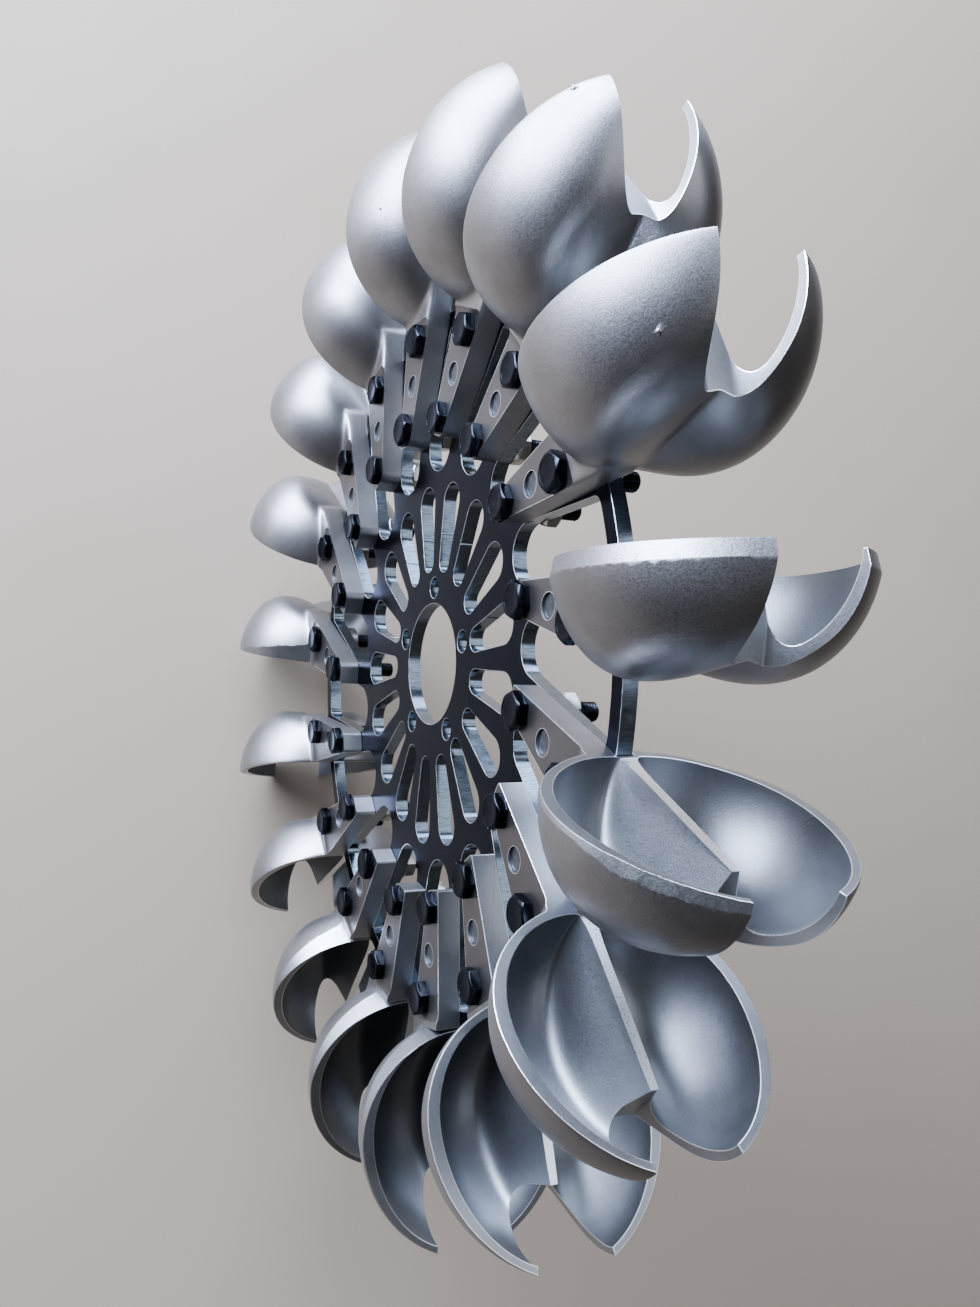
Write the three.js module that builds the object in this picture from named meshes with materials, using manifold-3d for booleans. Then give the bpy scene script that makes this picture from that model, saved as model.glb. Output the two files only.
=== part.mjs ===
// Pelton wheel runner: a cut steel plate with 17 leaning arms and 17 cast twin-cup buckets on its front.
// Millimetres, +Z up. The wheel's axis lies along Y, the side with the lugs faces -Y,
// and the wheel stands on the tips of its two lowest buckets.
import * as THREE from "three";
import { mergeVertices } from "three/addons/utils/BufferGeometryUtils.js";
import Module from "manifold-3d";

// Wheel
const BUCKETS = 17;
const PITCH = (2 * Math.PI) / BUCKETS;
const FIT_GAP = 0.3;

// Runner plate, as radii from the wheel's axis
const PLATE_THICKNESS = 8;
const BORE_RADIUS = 36;
const HUB_HOLES = 5;
const HUB_HOLE_CIRCLE = 45.3;
const HUB_HOLE_RADIUS = 6.25;
const HUB_HOLE_START = THREE.MathUtils.degToRad(-81.1);
const SLOT_INNER = { centre: 62.3, radius: 6.8 };
const SLOT_OUTER = { centre: 96.7, radius: 10.8 };
const SLOT_TURN = THREE.MathUtils.degToRad(-7.2);
const WINDOW_ROOT = { centre: 130.5, radius: 15.5 };
const WINDOW_TURN = THREE.MathUtils.degToRad(1.5);
const WINDOW_CORNER = 5;
const RING_INNER = 197.8;
const RING_OUTER = 206.5;
const RING_CLEARANCE = 1;

// Arm of the plate, in the bucket's own axes: out along the arm, and open towards the cups' mouth
const ARM_OPEN_END = { out: 192, open: 19.2 };
const ARM_BACK_END = { out: 193.5, open: -13.5 };

// Fastener holes, in the same axes
const INNER_BOLT = { out: 140.8, open: 17.1 };
const OUTER_BOLT = { out: 190, open: 0 };
const DOWEL = { out: 166.3, open: 10.6 };
const BOLT_HOLE_RADIUS = 5.5;
const DOWEL_RADIUS = 6;
const DOWEL_RECESS = 1.2;
const ARM_HOLES = [
  [INNER_BOLT, BOLT_HOLE_RADIUS],
  [OUTER_BOLT, BOLT_HOLE_RADIUS],
  [DOWEL, DOWEL_RADIUS + FIT_GAP],
];

// Bucket
const LUG_THICKNESS = 13;
const LUG_CHAMFER = 3;
const LUG_OPEN_SIDE = [{ out: 131, open: 27.2 }, { out: 202.5, open: 20 }];
const LUG_BACK_SIDE = [{ out: 131, open: 11.4 }, { out: 221.5, open: -21.5 }];
const LUG_TAIL = [{ out: 240, open: -18 }, { out: 240, open: 5 }];
const CUP_MIDDLE = { out: 255.5, open: 14.3 };
const MOUTH_TILT = THREE.MathUtils.degToRad(3.9);
const CUPS_TO_ROOT = 54.5;
const CUPS_TO_TIP = 68.2;
const TIP_TAPER = 1.15;
const CUPS_HALF_WIDTH = 61.2;
const CUPS_DEPTH = 44;
const VALLEY_DEPTH = 36.2;
const CUPS_MIDDLE_Y = 4;
const CUP_WALL = 6;
const CUP_FLOOR = 3.6;
const CUP_DEEPEST = 0.3;
const FLANK_FOOT = 0.5;
const VALLEY_LIMIT = 0.97;
const HUMP_PLACE = 0.42;
const BACK_FULLNESS = 0.6;
const SPLITTER_HALF_WIDTH = 1.6;
const SPLITTER_FLARE = 0.28;
const SPLITTER_DROP = 7.5;
const NOTCH_DEPTH_ALONG = 31.3;
const NOTCH_TILT = THREE.MathUtils.degToRad(-9.6);
const NOTCH_FLOOR_HALF = 6;
const NOTCH_FIRST_PULL = { along: 0, across: 9.5 };
const NOTCH_SECOND_PULL = { along: 12, across: 17 };
const NOTCH_MOUTH_HALF = 19.8;
const LID = 8;
const ABOVE_MOUTH = { low: [-200, -90, -60], high: [200, 90, 0] };
const TIP_RADIUS = 318.3;
const TIP_OPEN = 10.3;

// Facets round a shape
const SLOT_OUTER_STEPS = 7;
const SLOT_INNER_STEPS = 5;
const WINDOW_ROOT_STEPS = 8;
const WINDOW_RING_STEPS = 3;
const NOTCH_STEPS = 4;
const BACK_SIDES = 20;
const BACK_RINGS = 10;
const CUP_SIDES = 14;
const CUP_RINGS = 9;
const HOLE_SIDES = 8;
const BORE_SIDES = 40;
const RING_SIDES_PER_PITCH = 4;
const RING_SPACE_SIDES = 68;

// Points nearer than this are one point
const SAME_POINT = 1e-4;
const ON_POLE = 1e-3;

const steel = new THREE.MeshStandardMaterial({ color: 0x3a3d45, roughness: 0.45, metalness: 0.9 });
const castAluminium = new THREE.MeshStandardMaterial({ color: 0xb9bcc0, roughness: 0.6, metalness: 0.9 });
const pinSteel = new THREE.MeshStandardMaterial({ color: 0x56606a, roughness: 0.4, metalness: 1 });

const wasm = await Module();
wasm.setup();

// The closed geometry as a solid for cutting and joining.
function solidOf(geometry) {
  const bare = geometry.clone();
  bare.deleteAttribute("normal");
  bare.deleteAttribute("uv");
  const merged = mergeVertices(bare, SAME_POINT);
  return new wasm.Manifold(new wasm.Mesh({
    numProp: 3,
    vertProperties: new Float32Array(merged.attributes.position.array),
    triVerts: new Uint32Array(merged.index.array),
  }));
}

// A solid back as a geometry with flat facets.
function geometryOf(solid) {
  const mesh = solid.getMesh();
  const geometry = new THREE.BufferGeometry();
  geometry.setAttribute("position", new THREE.BufferAttribute(mesh.vertProperties, 3));
  geometry.setIndex(new THREE.BufferAttribute(mesh.triVerts, 1));
  const facets = geometry.toNonIndexed();
  facets.computeVertexNormals();
  return facets;
}

// An outline in the wheel's plane, extruded along Y from front to back.
function slab(shape, front, back) {
  const geometry = new THREE.ExtrudeGeometry(shape, { depth: back - front, bevelEnabled: false });
  geometry.rotateX(Math.PI / 2);
  geometry.translate(0, back, 0);
  return geometry;
}

// The point at a radius and an angle from +Z towards +X.
function polar(radius, angle) {
  return new THREE.Vector2(radius * Math.sin(angle), radius * Math.cos(angle));
}

// A point of a bucket's own axes, with its outer bolt at the angle.
function local(place, angle) {
  const out = polar(place.out, angle);
  const open = polar(place.open, angle - Math.PI / 2);
  return out.add(open);
}

// A regular outline with its first corner at the turn from +X towards +Z.
function circle(middle, radius, sides, first = 0) {
  const points = [];
  for (let i = 0; i < sides; i++) {
    const turn = first + (2 * Math.PI * i) / sides;
    points.push(new THREE.Vector2(middle.x + radius * Math.cos(turn), middle.y + radius * Math.sin(turn)));
  }
  return points;
}

// Points of an arc from one angle to another, angles measured from +Z towards +X.
function arc(middle, radius, from, to, steps) {
  const points = [];
  for (let i = 0; i <= steps; i++) {
    const turn = from + ((to - from) * i) / steps;
    points.push(middle.clone().add(polar(radius, turn)));
  }
  return points;
}

// A slot with two round ends of unlike radius, pointing at the axis.
function slotOutline(angle) {
  const lean = Math.asin((SLOT_OUTER.radius - SLOT_INNER.radius) / (SLOT_OUTER.centre - SLOT_INNER.centre));
  const side = Math.PI / 2 + lean;
  const outerEnd = polar(SLOT_OUTER.centre, angle);
  const innerEnd = polar(SLOT_INNER.centre, angle);
  return [
    ...arc(outerEnd, SLOT_OUTER.radius, angle - side, angle + side, SLOT_OUTER_STEPS),
    ...arc(innerEnd, SLOT_INNER.radius, angle + side, angle + 2 * Math.PI - side, SLOT_INNER_STEPS),
  ];
}

// The angle of a point seen from another, from +Z towards +X.
function bearing(from, to) {
  return Math.atan2(to.x - from.x, to.y - from.y);
}

// The open space between the arm at the angle and the next arm, with a round root and a cut under the ring.
function windowOutline(angle) {
  const axis = new THREE.Vector2(0, 0);
  const root = polar(WINDOW_ROOT.centre, angle + WINDOW_TURN);
  const backEnd = local(ARM_BACK_END, angle);
  const openEnd = local(ARM_OPEN_END, angle + PITCH);
  const leave = bearing(root, backEnd) - Math.acos(WINDOW_ROOT.radius / root.distanceTo(backEnd));
  const meet = bearing(root, openEnd) + Math.acos(WINDOW_ROOT.radius / root.distanceTo(openEnd));
  const inside = (2 * Math.PI + leave - meet) % (2 * Math.PI);
  const corner = WINDOW_CORNER / RING_INNER;
  const first = bearing(axis, openEnd) - corner;
  const last = first - ((2 * Math.PI + first - bearing(axis, backEnd) - corner) % (2 * Math.PI));
  return [
    ...arc(root, WINDOW_ROOT.radius, meet + inside, meet, WINDOW_ROOT_STEPS),
    openEnd,
    ...arc(axis, RING_INNER, first, last, WINDOW_RING_STEPS),
    backEnd,
  ];
}

function platePart() {
  const axis = new THREE.Vector2(0, 0);
  const outline = new THREE.Shape(circle(axis, RING_OUTER, BUCKETS * RING_SIDES_PER_PITCH));
  const holes = [circle(axis, BORE_RADIUS, BORE_SIDES)];
  for (let i = 0; i < HUB_HOLES; i++) {
    const angle = HUB_HOLE_START + (2 * Math.PI * i) / HUB_HOLES;
    holes.push(circle(polar(HUB_HOLE_CIRCLE, angle), HUB_HOLE_RADIUS, HOLE_SIDES));
  }
  for (let i = 0; i < BUCKETS; i++) {
    const angle = bucketAngle(i);
    holes.push(slotOutline(angle + SLOT_TURN));
    holes.push(windowOutline(angle));
    for (const [place, radius] of ARM_HOLES) {
      holes.push(circle(local(place, angle), radius, HOLE_SIDES, Math.PI / 2 - angle));
    }
  }
  outline.holes = holes.map((points) => new THREE.Path(points));
  return slab(outline, 0, PLATE_THICKNESS);
}

// The angle of a bucket's outer bolt that sets the first bucket's tips straight up.
function bucketAngle(index) {
  return Math.atan2(TIP_OPEN, TIP_RADIUS) + index * PITCH;
}

// A number set to the nearest millionth, so that two ends of a seam agree.
function settled(value) {
  return Math.round(value * 1e6) / 1e6;
}

// A ball whose poles point along the bucket, with each vertex moved by a rule.
// The rule gets x along the ball, its chord there, and the place round the chord as across and down.
function warpedBall(sides, rings, rule) {
  const geometry = new THREE.SphereGeometry(1, sides, rings);
  geometry.rotateZ(-Math.PI / 2);
  const position = geometry.attributes.position;
  for (let i = 0; i < position.count; i++) {
    const x = settled(position.getX(i));
    const chord = Math.sqrt(Math.max(0, 1 - x * x));
    const onPole = chord < ON_POLE;
    const across = onPole ? 0 : settled(position.getY(i) / chord);
    const down = onPole ? 0 : settled(position.getZ(i) / chord);
    position.setXYZ(i, ...rule(x, onPole ? 0 : chord, THREE.MathUtils.clamp(across, -1, 1), down));
  }
  return geometry;
}

// How deep the back is at a place across the bucket, where a hump is as deep as given:
// a valley in the middle, a hump behind each cup, and nothing at the rims.
function backDepth(across, hump) {
  const u = Math.abs(across);
  if (u < HUMP_PLACE) {
    const valley = Math.min(VALLEY_DEPTH, VALLEY_LIMIT * hump);
    const rise = 1 - u / HUMP_PLACE;
    return hump - (hump - valley) * rise * rise;
  }
  const fall = (u - HUMP_PLACE) / (1 - HUMP_PLACE);
  return hump * Math.pow(Math.max(0, 1 - fall * fall), BACK_FULLNESS);
}

// The share of the full width at a place along the cups, which taper more towards the tip.
function widthShare(x, chord) {
  return x > 0 ? Math.pow(chord, TIP_TAPER) : chord;
}

// The bucket's cups in their own axes: x along the mouth to the tip, y across, z down into the cups.
function cupsBack() {
  return warpedBall(BACK_SIDES, BACK_RINGS, (x, chord, across, down) => {
    const depth = down > 0 ? backDepth(across, CUPS_DEPTH * chord) : LID * chord * down;
    const width = CUPS_HALF_WIDTH * widthShare(x, chord);
    return [x * (x > 0 ? CUPS_TO_TIP : CUPS_TO_ROOT), width * across, depth];
  });
}

// How far the splitter's ridge lies below the mouth at a place along the cups.
function ridgeDrop(along) {
  const root = CUP_WALL - CUPS_TO_ROOT;
  const end = TIP_RADIUS - CUP_MIDDLE.out - NOTCH_DEPTH_ALONG;
  return SPLITTER_DROP * Math.max(0, (along - root) / (end - root));
}

// One cup's hollow: a steep flank of the splitter, a tight foot, a floor, and a bowl up to the rim.
function cupHollow(side) {
  const reachAcross = CUPS_HALF_WIDTH - CUP_WALL - SPLITTER_HALF_WIDTH;
  const ball = warpedBall(CUP_SIDES, CUP_RINGS, (x, chord, across, down) => {
    const reach = (x > 0 ? CUPS_TO_TIP : CUPS_TO_ROOT) - CUP_WALL;
    const onFlank = across < 0 && down > 0;
    const aside = onFlank ? -Math.pow(-across, FLANK_FOOT) : across;
    const fall = onFlank ? Math.pow(down, FLANK_FOOT) : down;
    const depth = chord * fall * (down > 0 ? CUPS_DEPTH - CUP_FLOOR : 2 * LID);
    const flare = SPLITTER_FLARE * Math.max(0, depth - ridgeDrop(x * reach));
    const share = CUP_DEEPEST + aside * (aside < 0 ? CUP_DEEPEST : 1 - CUP_DEEPEST);
    const width = reachAcross * widthShare(x, chord) - flare;
    return [x * reach, SPLITTER_HALF_WIDTH + flare + width * share, depth];
  });
  if (side < 0) {
    ball.scale(1, -1, 1);
    ball.index.array.reverse();
  }
  return ball;
}

// A box from its lowest to its highest corner.
function boxBetween(low, high) {
  const box = new THREE.BoxGeometry(high[0] - low[0], high[1] - low[1], high[2] - low[2]);
  box.translate((low[0] + high[0]) / 2, (low[1] + high[1]) / 2, (low[2] + high[2]) / 2);
  return box;
}

// The cut between the two tips, from the splitter's end out, right through the back: a flat floor
// across the splitter, and two sides that curve out to the tips.
function notchCut() {
  const end = TIP_RADIUS - CUP_MIDDLE.out;
  const [first, second] = [NOTCH_FIRST_PULL, NOTCH_SECOND_PULL];
  const mouth = NOTCH_MOUTH_HALF;
  const floor = NOTCH_FLOOR_HALF;
  const reach = NOTCH_DEPTH_ALONG;
  const shape = new THREE.Shape();
  shape.moveTo(reach + LID, -mouth);
  shape.lineTo(reach + LID, mouth);
  shape.lineTo(reach, mouth);
  shape.bezierCurveTo(second.along, second.across, first.along, first.across, 0, floor);
  shape.lineTo(0, -floor);
  shape.bezierCurveTo(first.along, -first.across, second.along, -second.across, reach, -mouth);
  const depth = 2 * CUPS_DEPTH + LID;
  const settings = { depth, bevelEnabled: false, curveSegments: NOTCH_STEPS };
  const geometry = new THREE.ExtrudeGeometry(shape, settings);
  geometry.translate(0, 0, -LID);
  geometry.rotateY(NOTCH_TILT);
  geometry.translate(end - NOTCH_DEPTH_ALONG, 0, 0);
  return geometry;
}

// The wedge that lowers the splitter, from nothing at its root to past its end at the notch.
function splitterCut() {
  const root = CUP_WALL - CUPS_TO_ROOT;
  const end = TIP_RADIUS - CUP_MIDDLE.out - NOTCH_DEPTH_ALONG + LID;
  const shape = new THREE.Shape();
  shape.moveTo(root, LID);
  shape.lineTo(root, 0);
  shape.lineTo(end, -ridgeDrop(end));
  shape.lineTo(end, LID);
  const width = 4 * SPLITTER_HALF_WIDTH;
  const geometry = new THREE.ExtrudeGeometry(shape, { depth: width, bevelEnabled: false });
  geometry.rotateX(-Math.PI / 2);
  geometry.translate(0, -width / 2, 0);
  return geometry;
}

// From the cups' own axes to the bucket's: X out, Z open, Y along the wheel's axis.
function toBucket(geometry) {
  geometry.rotateX(Math.PI);
  geometry.rotateY(MOUTH_TILT);
  geometry.translate(CUP_MIDDLE.out, CUPS_MIDDLE_Y, CUP_MIDDLE.open);
  return geometry;
}

function lugOutline() {
  const shape = new THREE.Shape();
  const [openFoot, openEnd] = LUG_OPEN_SIDE;
  const [backFoot, backEnd] = LUG_BACK_SIDE;
  shape.moveTo(backFoot.out + LUG_CHAMFER, backFoot.open);
  shape.lineTo(backEnd.out, backEnd.open);
  for (const corner of LUG_TAIL) {
    shape.lineTo(corner.out, corner.open);
  }
  shape.lineTo(openEnd.out, openEnd.open);
  shape.lineTo(openFoot.out + LUG_CHAMFER, openFoot.open);
  shape.lineTo(openFoot.out, openFoot.open - LUG_CHAMFER);
  shape.lineTo(backFoot.out, backFoot.open + LUG_CHAMFER);
  shape.holes = ARM_HOLES.map(([place, radius]) => {
    return new THREE.Path(circle(new THREE.Vector2(place.out, place.open), radius, HOLE_SIDES));
  });
  return shape;
}

// The round space that the plate and its ring fill, with a little room round them, in the bucket's axes.
function ringSpace() {
  const outline = circle(new THREE.Vector2(0, 0), RING_OUTER + RING_CLEARANCE, RING_SPACE_SIDES);
  return slab(new THREE.Shape(outline), -FIT_GAP, CUPS_HALF_WIDTH);
}

function bucketSolid() {
  const above = solidOf(toBucket(boxBetween(ABOVE_MOUTH.low, ABOVE_MOUTH.high)));
  const lug = solidOf(slab(lugOutline(), -LUG_THICKNESS - FIT_GAP, -FIT_GAP));
  let bucket = solidOf(toBucket(cupsBack())).subtract(above).add(lug);
  for (const side of [-1, 1]) {
    bucket = bucket.subtract(solidOf(toBucket(cupHollow(side))));
  }
  for (const cut of [toBucket(splitterCut()), toBucket(notchCut()), ringSpace()]) {
    bucket = bucket.subtract(solidOf(cut));
  }
  return bucket;
}

const runner = new THREE.Group();
const plate = new THREE.Mesh(platePart(), steel);
plate.name = "runner_plate";
runner.add(plate);

const bucketGeometry = geometryOf(bucketSolid());
const pinLength = PLATE_THICKNESS + LUG_THICKNESS + FIT_GAP - DOWEL_RECESS;
const pinGeometry = new THREE.CylinderGeometry(DOWEL_RADIUS, DOWEL_RADIUS, pinLength, HOLE_SIDES);
pinGeometry.rotateY(Math.PI / 2);
pinGeometry.translate(DOWEL.out, PLATE_THICKNESS - pinLength / 2, DOWEL.open);

for (let i = 0; i < BUCKETS; i++) {
  const number = String(i + 1).padStart(2, "0");
  const seat = new THREE.Group();
  seat.rotation.y = bucketAngle(i) - Math.PI / 2;
  const bucket = new THREE.Mesh(bucketGeometry, castAluminium);
  bucket.name = "bucket_" + number;
  const pin = new THREE.Mesh(pinGeometry, pinSteel);
  pin.name = "dowel_pin_" + number;
  seat.add(bucket, pin);
  runner.add(seat);
}

runner.updateMatrixWorld(true);
const extent = new THREE.Box3().setFromObject(runner, true);
const middle = extent.getCenter(new THREE.Vector3());
runner.position.set(-middle.x, -middle.y, -extent.min.z);

export default runner;
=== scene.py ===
"""Looks of a pelton wheel runner: a laser-cut steel plate with seventeen cast twin-cup buckets.

The wheel stands upright on a pale studio floor, with its axis along Y and the lugs on its -Y side.
A bucket is modelled in its own axes (X out along the arm, Y along the wheel's axis with the plate's
front at zero, Z open towards the cups' mouth), once for each way its rim was dressed, and copied
round the wheel.
"""

from __future__ import annotations

import logging
import math
from contextlib import contextmanager
from dataclasses import dataclass, field
from enum import Enum
from typing import Callable, Iterator, Mapping, Sequence

import bmesh
import bpy
import numpy as np
from mathutils import Matrix, Vector, noise


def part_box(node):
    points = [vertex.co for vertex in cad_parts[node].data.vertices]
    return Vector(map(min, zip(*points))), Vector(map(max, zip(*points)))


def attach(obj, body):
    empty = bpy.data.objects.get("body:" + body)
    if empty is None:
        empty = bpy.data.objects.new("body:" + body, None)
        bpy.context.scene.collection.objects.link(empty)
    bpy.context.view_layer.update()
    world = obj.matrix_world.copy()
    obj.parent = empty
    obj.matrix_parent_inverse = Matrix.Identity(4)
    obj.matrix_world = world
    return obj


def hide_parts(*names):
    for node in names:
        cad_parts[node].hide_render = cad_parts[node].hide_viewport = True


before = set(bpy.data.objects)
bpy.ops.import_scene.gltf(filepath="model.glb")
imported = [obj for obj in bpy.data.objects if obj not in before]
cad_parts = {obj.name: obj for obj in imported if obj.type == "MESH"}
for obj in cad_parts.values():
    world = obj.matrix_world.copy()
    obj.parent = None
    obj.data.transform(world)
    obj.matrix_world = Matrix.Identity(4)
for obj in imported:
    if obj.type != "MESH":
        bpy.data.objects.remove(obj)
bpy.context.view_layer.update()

LOG = logging.getLogger("pelton_wheel")
MM = 0.001
BUCKETS = 17
PITCH = 2 * math.pi / BUCKETS
FIT_GAP = 0.3 * MM
THROUGH = 20 * MM
WELD = 0.001 * MM
DOWEL = (166.3 * MM, 10.6 * MM)
TIP = (318.3 * MM, 10.3 * MM)
SMOOTH_ANGLE = 35

Solid = bpy.types.Object
Values = np.ndarray
Pair = tuple[float, float]
Triple = tuple[float, float, float]
Rule = Callable[[Values, Values, Values, Values], tuple]


# ---------------------------------------------------------------- small helpers


def linear(colour: str) -> tuple[float, ...]:
    """Turn an sRGB hex colour to linear.

    Args:
        colour: six hex digits after a hash sign.

    Returns:
        Linear red, green and blue, with full alpha.
    """
    channels = [int(colour[i : i + 2], 16) / 255 for i in (1, 3, 5)]
    red, green, blue = (
        c / 12.92 if c <= 0.04045 else ((c + 0.055) / 1.055) ** 2.4 for c in channels
    )
    return red, green, blue, 1.0


def add_node(
    tree: bpy.types.NodeTree, kind: str, settings: Mapping | None = None,
    links: Mapping | None = None,
) -> bpy.types.Node:
    """Add a node with its settings and links.

    Args:
        tree: the tree that takes the node.
        kind: the node's Blender type.
        settings: values for the node's own properties or for its inputs, by name or number.
            The name stops gives the place and colour of each stop of a colour ramp.
        links: output sockets that feed the node's inputs, by name or number.

    Returns:
        The new node.
    """
    node = tree.nodes.new(kind)
    for name, value in (settings or {}).items():
        if name == "stops":
            stops = node.color_ramp.elements
            while len(stops) < len(value):
                stops.new(1.0)
            for stop, (place, colour) in zip(stops, value):
                stop.position = place
                stop.color = colour
        elif isinstance(name, str) and hasattr(node, name):
            setattr(node, name, value)
        else:
            node.inputs[name].default_value = value
    for name, socket in (links or {}).items():
        tree.links.new(socket, node.inputs[name])
    return node


def polar(radius: float, angle: float) -> Vector:
    """Point of the wheel's plane at a radius and an angle from +Z towards +X."""
    return Vector((radius * math.sin(angle), radius * math.cos(angle)))


def arc(middle: Vector, radius: float, start: float, end: float, steps: int) -> list[Vector]:
    """Points of an arc in the wheel's plane from one angle to another, with both its ends."""
    return [middle + polar(radius, start + (end - start) * i / steps) for i in range(steps + 1)]


def circle(middle: Vector, radius: float, sides: int) -> list[Vector]:
    """Points of a circle in the wheel's plane."""
    return arc(middle, radius, 0, 2 * math.pi, sides)[:-1]


def bucket_angle(index: int) -> float:
    """Angle of a bucket's outer bolt that sets the first bucket's tips straight up."""
    return math.atan2(TIP[1], TIP[0]) + index * PITCH


def arm_point(out: float, opened: float, angle: float) -> Vector:
    """Point of a bucket's own axes, in the wheel's plane, with its outer bolt at the angle."""
    return polar(out, angle) + polar(opened, angle - math.pi / 2)


def wheel_axis() -> Vector:
    """Point where the wheel's axis meets the front face of the plate, in the row frame."""
    low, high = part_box("runner_plate")
    return Vector(((low.x + high.x) / 2, low.y, (low.z + high.z) / 2))


def seat_matrix(index: int) -> Matrix:
    """Matrix from a bucket's own axes to its seat on the wheel."""
    turn = Matrix.Rotation(bucket_angle(index) - math.pi / 2, 4, "Y")
    return Matrix.Translation(wheel_axis()) @ turn


# ---------------------------------------------------------------- modelling helpers


def take(obj: Solid) -> Solid:
    """Make an object the only selected one, and the active one.

    Args:
        obj: the object.

    Returns:
        The same object.
    """
    bpy.ops.object.select_all(action="DESELECT")
    obj.select_set(True)
    bpy.context.view_layer.objects.active = obj
    return obj


def primitive(operator: Callable, name: str, **settings) -> Solid:
    """Add a primitive with nothing else selected, its place and turn kept in its mesh.

    Args:
        operator: the primitive's own operator.
        name: the new object's name.
        **settings: the operator's settings.

    Returns:
        The new object.
    """
    bpy.ops.object.select_all(action="DESELECT")
    operator(**settings)
    obj = bpy.context.object
    obj.name = name
    bpy.ops.object.transform_apply(location=True, rotation=True, scale=True)
    return obj


def rod(
    name: str, sides: int, radius: float, low: float, high: float, place: Sequence = (0, 0)
) -> Solid:
    """Add a cylinder or a bar along Y.

    Args:
        name: the new object's name.
        sides: how many sides it has.
        radius: its radius over the corners.
        low: where it starts along Y.
        high: where it ends along Y.
        place: X and Z of its middle.

    Returns:
        The new object.
    """
    return primitive(
        bpy.ops.mesh.primitive_cylinder_add, name, vertices=sides, radius=radius, depth=high - low,
        location=(place[0], (low + high) / 2, place[1]), rotation=(math.pi / 2, 0, 0),
    )


def cone(top: float, base: float, at_top: float, at_base: float) -> Solid:
    """Add a cone along Y, from a radius at one height to a radius at another.

    Args:
        top: the height of its first end.
        base: the height of its other end.
        at_top: its radius at the first end.
        at_base: its radius at the other end.

    Returns:
        The new object.
    """
    return primitive(
        bpy.ops.mesh.primitive_cone_add, "cone", vertices=64, radius1=at_base, radius2=at_top,
        depth=abs(top - base), location=(0, (top + base) / 2, 0),
        rotation=(math.pi / 2 * (1 if top < base else -1), 0, 0),
    )


@contextmanager
def editing(obj: Solid, mode: str = "FACE") -> Iterator[None]:
    """Edit mode on one object, with everything deselected at the start.

    Args:
        obj: the object to edit.
        mode: VERT, EDGE or FACE.

    Yields:
        Nothing.
    """
    take(obj)
    bpy.ops.object.mode_set(mode="EDIT")
    bpy.ops.mesh.select_mode(type=mode)
    bpy.ops.mesh.select_all(action="DESELECT")
    try:
        yield
    finally:
        bpy.ops.object.mode_set(mode="OBJECT")


def select(obj: Solid, kind: str, test: Callable) -> None:
    """Select the faces or the edges, in edit mode, that pass a test.

    Args:
        obj: the object being edited.
        kind: faces or edges.
        test: says of each one whether it is selected.
    """
    shape = bmesh.from_edit_mesh(obj.data)
    for element in getattr(shape, kind):
        element.select_set(test(element))
    if kind == "faces":
        shape.select_flush_mode()
    bmesh.update_edit_mesh(obj.data)


def face_outwards(obj: Solid) -> None:
    """Merge doubles, then turn every face of a closed mesh outwards.

    Args:
        obj: the object.
    """
    with editing(obj, "VERT"):
        bpy.ops.mesh.select_all(action="SELECT")
        bpy.ops.mesh.remove_doubles(threshold=WELD)
        bpy.ops.mesh.normals_make_consistent(inside=False)


def outline(name: str, points: Sequence[Vector], filled: bool = True) -> Solid:
    """Circle primitive whose vertices are moved to an outline.

    Args:
        name: the new object's name.
        points: the outline's corners, one after the other.
        filled: whether a face fills the outline.

    Returns:
        The new object.
    """
    fill = "NGON" if filled else "NOTHING"
    obj = primitive(
        bpy.ops.mesh.primitive_circle_add, name, vertices=len(points), radius=1, fill_type=fill
    )
    for vertex, point in zip(obj.data.vertices, points):
        vertex.co = point
    return obj


def extruded(obj: Solid, reach: Vector, swell: Vector | None = None) -> Solid:
    """Extrude all the faces of a sheet to a closed solid.

    Args:
        obj: the sheet.
        reach: how far and where to the faces go.
        swell: scale of the far end about the origin of its own plane, or None.

    Returns:
        The same object.
    """
    with editing(obj):
        bpy.ops.mesh.select_all(action="SELECT")
        bpy.ops.mesh.extrude_region_move(TRANSFORM_OT_translate={"value": reach})
        if swell is not None:
            bpy.ops.transform.resize(value=swell, center_override=tuple(reach))
    face_outwards(obj)
    return obj


def trimmed(obj: Solid, place: Vector, way: Vector) -> Solid:
    """Cut off what lies beyond a plane and close the solid there.

    Args:
        obj: the solid to trim.
        place: a point of the plane.
        way: the plane's normal, towards the side that is cut off.

    Returns:
        The same object.
    """
    with editing(obj):
        bpy.ops.mesh.select_all(action="SELECT")
        bpy.ops.mesh.bisect(
            plane_co=place, plane_no=way, threshold=1e-7, use_fill=True, clear_outer=True
        )
    face_outwards(obj)
    return obj


def combine(obj: Solid, other: Solid, operation: str) -> Solid:
    """Join, cut or trim a solid with another, which is used up.

    Args:
        obj: the solid that stays.
        other: the solid that is used up.
        operation: UNION, DIFFERENCE or INTERSECT.

    Returns:
        The solid that stays.
    """
    apply_modifier(obj, "BOOLEAN", operation=operation, object=other, solver="EXACT")
    bpy.data.objects.remove(other, do_unlink=True)
    return obj


def apply_modifier(obj: Solid, kind: str, **settings) -> None:
    """Add a modifier with its settings and apply it at once.

    Args:
        obj: the object.
        kind: the modifier's Blender type.
        **settings: values for the modifier's properties.
    """
    modifier = obj.modifiers.new(kind.lower(), kind)
    for name, value in settings.items():
        setattr(modifier, name, value)
    take(obj)
    bpy.ops.object.modifier_apply(modifier=modifier.name)


def bevelled(obj: Solid, width: float, segments: int, degrees: float) -> None:
    """Round off the edges over an angle."""
    limit = {"limit_method": "ANGLE", "angle_limit": math.radians(degrees)}
    apply_modifier(obj, "BEVEL", width=width, segments=segments, **limit)


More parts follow.
